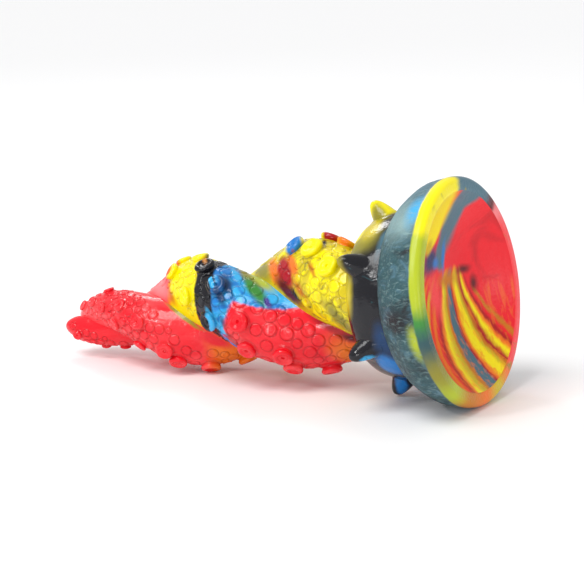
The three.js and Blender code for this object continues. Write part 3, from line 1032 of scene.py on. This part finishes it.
def make_flank(material):
    """The outside of the cup, wrinkled except at the lip."""
    profile = curve_through(FLANK_PROFILE, FLANK_ROWS)
    points = lathe_points(profile, CUP_SIDES)
    out = points * [1, 1, 0]
    out /= np.linalg.norm(out, axis=1, keepdims=True)
    wrinkled = smooth_step(points[:, 2], 4.0, 7.5) * smooth_step(-points[:, 2], -25, -21)
    stretched = points * [1, 1, 0.35]
    lift = 0.16 * waves(stretched, 5, 11, 7) + 0.1 * waves(stretched, 2.4, 12, 7)
    lift = lift * wrinkled + 0.1 * waves(points, 30, 13) * smooth_step(points[:, 2], 1, 4)
    points = points + out * (lift - 0.1 * wrinkled)[:, None]
    faces = grid_faces(len(profile), CUP_SIDES)
    piece = make_piece("cup_flank", points, faces, material)
    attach(piece, "base")
    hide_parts("suction_cup")


BOWL_EDGE = MOUTH_RADIUS - 0.35
BOWL_RING = 39.4


def bowl_height(radius):
    """Height of the bowl's sphere above the mouth at a distance from the axis."""
    ball = (MOUTH_RADIUS**2 + BOWL_DEPTH**2) / (2 * BOWL_DEPTH)
    return np.sqrt(ball**2 - radius**2) - (ball - BOWL_DEPTH)


def make_face(material):
    """The flat ring that seals, rounded into the bowl."""
    profile = [
        (FACE_RADIUS, 0.05),
        (44.4, 0.0),
        (43.4, 0.0),
        (MOUTH_RADIUS + 0.7, 0.02),
        (MOUTH_RADIUS + 0.2, 0.12),
        (BOWL_EDGE, bowl_height(BOWL_EDGE) - 0.02),
    ]
    profile = curve_through(profile, LIP_ROWS)
    points = lathe_points(profile, CUP_SIDES)
    faces = [quad[::-1] for quad in grid_faces(len(profile), CUP_SIDES)]
    piece = make_piece("cup_lip", points, faces, material)
    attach(piece, "base")
    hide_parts("suction_cup")


def make_bowl(material):
    """The inside of the cup: part of a sphere, with a faint moulded ring near its edge."""
    radii = np.linspace(BOWL_EDGE, 0.02, BOWL_ROWS)
    ring = 0.12 * np.exp(-(((radii - BOWL_RING) / 0.35) ** 2))
    heights = bowl_height(radii) - ring
    points = lathe_points(list(zip(radii, heights)), CUP_SIDES)
    points[:, 2] += 0.12 * waves(points, 26, 17) * smooth_step(points[:, 2], 1, 6)
    faces = [quad[::-1] for quad in grid_faces(len(radii), CUP_SIDES)]
    piece = make_piece("cup_bowl", points, faces, material)
    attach(piece, "base")
    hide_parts("suction_cup")


# ---- Collar and horns ----
COLLAR_ROWS = 60
COLLAR_SIDES = 240
COLLAR_PROFILE = [
    (33.8, 24.2),
    (34.2, 26.0),
    (34.5, 29.0),
    (34.2, 33.0),
    (33.5, 36.4),
    (32.3, 39.6),
    (30.6, 41.9),
    (28.6, 43.0),
    (26.4, 42.8),
    (22.0, 41.0),
]


def horn_directions():
    """(polar angle, foot, unit direction, length) of each horn, upright."""
    out = []
    for i in range(HORNS):
        angle = math.radians(HORN_START - i * 360 / HORNS)
        around = np.array([math.cos(angle), math.sin(angle), 0])
        foot = around * HORN_FOOT[0] + np.array([0, 0, HORN_FOOT[1]])
        tip = around * HORN_TIP[0] + np.array([0, 0, HORN_TIP[1]])
        long = float(np.linalg.norm(tip - foot))
        out.append((angle, foot, (tip - foot) / long, long))
    return out


def make_collar(material):
    """The swollen collar, pulled out a little at the foot of each horn."""
    profile = curve_through(COLLAR_PROFILE, COLLAR_ROWS)
    points = lathe_points(profile, COLLAR_SIDES)
    out = points * [1, 1, 0]
    out /= np.linalg.norm(out, axis=1, keepdims=True)
    lift = 0.22 * waves(points, 24, 23) + 0.05 * waves(points, 5, 24)
    for _, foot, direction, _ in horn_directions():
        way = points - foot
        beside = np.linalg.norm(way - (way @ direction)[:, None] * direction, axis=1)
        lift += 0.9 * smooth_step(-beside, -8.5, -4.0)
    lift *= smooth_step(points[:, 2], 22, 30)
    points = points + out * lift[:, None]
    faces = grid_faces(len(profile), COLLAR_SIDES)
    piece = make_piece("collar_skin", points, faces, material)
    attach(piece, "base")
    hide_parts("horned_collar")


HORN_ROWS = 34
HORN_SIDES = 44
# Shares of the horn's radius and of its length.
HORN_PROFILE = [
    (1.28, 0.12),
    (1.08, 0.26),
    (0.97, 0.38),
    (0.87, 0.52),
    (0.71, 0.7),
    (0.53, 0.85),
    (0.33, 0.95),
    (0.12, 0.995),
    (0.0, 1.0),
]


def make_horns(material):
    """Blunt, slightly bent cones that flare into the collar."""
    rng = random.Random(5)
    for number, (angle, foot, direction, long) in enumerate(horn_directions(), 1):
        profile = curve_through(HORN_PROFILE, HORN_ROWS)[:-1]
        around = np.linspace(0, 2 * math.pi, HORN_SIDES, endpoint=False)
        side = np.array([-math.sin(angle), math.cos(angle), 0])
        other = np.cross(direction, side)
        sway = rng.uniform(-0.5, 0.5)
        rings = []
        for share, rise in profile:
            centre = foot + direction * long * rise + side * sway * rise**2
            wide = HORN_RADIUS * share * (1 + 0.04 * np.cos(2 * around + number))
            ring = np.cos(around)[:, None] * side + np.sin(around)[:, None] * other
            rings.append(centre + wide[:, None] * ring)
        tip = foot + direction * long + side * sway
        points = np.vstack([*rings, tip[None]])
        points[:-1] += 0.08 * waves(points[:-1], 6, 40 + number)[:, None] * side
        count = len(around)
        faces = grid_faces(len(profile), count)
        last = (len(profile) - 1) * count
        top = len(profile) * count
        faces += [[last + k, last + (k + 1) % count, top] for k in range(count)]
        piece = make_piece(f"horn_{number}_skin", points, faces, material)
        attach(piece, "base")
        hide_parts(f"horn_{number}")


for letter, painter in (("a", tentacle_a_paint), ("b", tentacle_b_paint)):
    make_tentacle(letter, painter(f"silicone_tentacle_{letter}", False))
    make_suckers(letter, painter(f"silicone_suckers_{letter}", True))
make_flank(flank_paint())
make_face(face_paint())
make_bowl(bowl_paint())
collar_material = collar_paint()
make_collar(collar_material)
make_horns(collar_material)


# ---- Floor, light and camera ----
FLOOR_HALF = 40
# Name, place, aim, side of the square lamp in metres, and power in watts.
LAMPS = [
    ("key", (-0.25, -0.75, 0.6), (0, 0, 0.03), 0.1, 1.6),
    ("front", (0.27, -0.9, 0.1), (0, 0, 0.04), 0.07, 0.8),
    ("side", (0.93, -0.25, 0.2), (0.09, 0.02, 0.04), 0.12, 1.3),
    ("back", (-0.5, 0.5, 0.6), (0, 0, 0.03), 0.2, 1.0),
]


def make_floor():
    mesh = bpy.data.meshes.new("floor")
    corners = [(-1, -1, 0), (1, -1, 0), (1, 1, 0), (-1, 1, 0)]
    mesh.from_pydata([Vector(corner) * FLOOR_HALF for corner in corners], [], [(0, 1, 2, 3)])
    material = bpy.data.materials.new("pale_floor")
    material.use_nodes = True
    shader = material.node_tree.nodes["Principled BSDF"]
    shader.inputs["Base Color"].default_value = (0.93, 0.93, 0.935, 1)
    shader.inputs["Roughness"].default_value = 0.6
    mesh.materials.append(material)
    floor = bpy.data.objects.new("floor", mesh)
    bpy.context.scene.collection.objects.link(floor)


def make_light(name, at, aim, size, energy):
    light = bpy.data.lights.new(name, "AREA")
    light.shape = "SQUARE"
    light.size = size
    light.energy = energy
    lamp = bpy.data.objects.new(name, light)
    lamp.location = at
    lamp.rotation_euler = (Vector(aim) - Vector(at)).to_track_quat("-Z", "Y").to_euler()
    bpy.context.scene.collection.objects.link(lamp)


def make_sun(direction, strength, spread):
    """Even light for the whole floor, so that it stays white to the horizon."""
    light = bpy.data.lights.new("sun", "SUN")
    light.energy = strength
    light.angle = math.radians(spread)
    lamp = bpy.data.objects.new("sun", light)
    lamp.rotation_euler = Vector(direction).to_track_quat("-Z", "Y").to_euler()
    bpy.context.scene.collection.objects.link(lamp)


def make_world(strength):
    world = bpy.data.worlds.new("studio")
    world.use_nodes = True
    background = world.node_tree.nodes["Background"]
    background.inputs["Color"].default_value = (1, 1, 1, 1)
    background.inputs["Strength"].default_value = strength
    bpy.context.scene.world = world


# Angles in degrees, lengths in metres, and the lens in millimetres.
CAMERA_AZIMUTH = 29.7
CAMERA_ELEVATION = 13.04
CAMERA_ROLL = -1.04
CAMERA_DISTANCE = 0.9
CAMERA_AIM = Vector((0.02755, -0.0271, 0.0464))
CAMERA_LENS = 134.4


def make_camera():
    azimuth = math.radians(CAMERA_AZIMUTH)
    elevation = math.radians(CAMERA_ELEVATION)
    back = Vector(
        (
            math.sin(azimuth) * math.cos(elevation),
            -math.cos(azimuth) * math.cos(elevation),
            math.sin(elevation),
        )
    )
    right = Vector((0, 0, 1)).cross(back).normalized()
    up = back.cross(right)
    roll = math.radians(CAMERA_ROLL)
    turned_right = right * math.cos(roll) + up * math.sin(roll)
    turned_up = up * math.cos(roll) - right * math.sin(roll)
    data = bpy.data.cameras.new("camera")
    data.lens = CAMERA_LENS
    data.sensor_width = 36
    data.clip_end = 100
    camera = bpy.data.objects.new("camera", data)
    matrix = Matrix((turned_right, turned_up, back)).transposed().to_4x4()
    matrix.translation = CAMERA_AIM + back * CAMERA_DISTANCE
    camera.matrix_world = matrix
    bpy.context.scene.collection.objects.link(camera)
    bpy.context.scene.camera = camera


make_floor()
make_world(0.62)
make_sun((0.25, 0.5, -1), 1.6, 30)
for lamp_facts in LAMPS:
    make_light(*lamp_facts)
bpy.context.scene.view_settings.view_transform = "Standard"
make_camera()
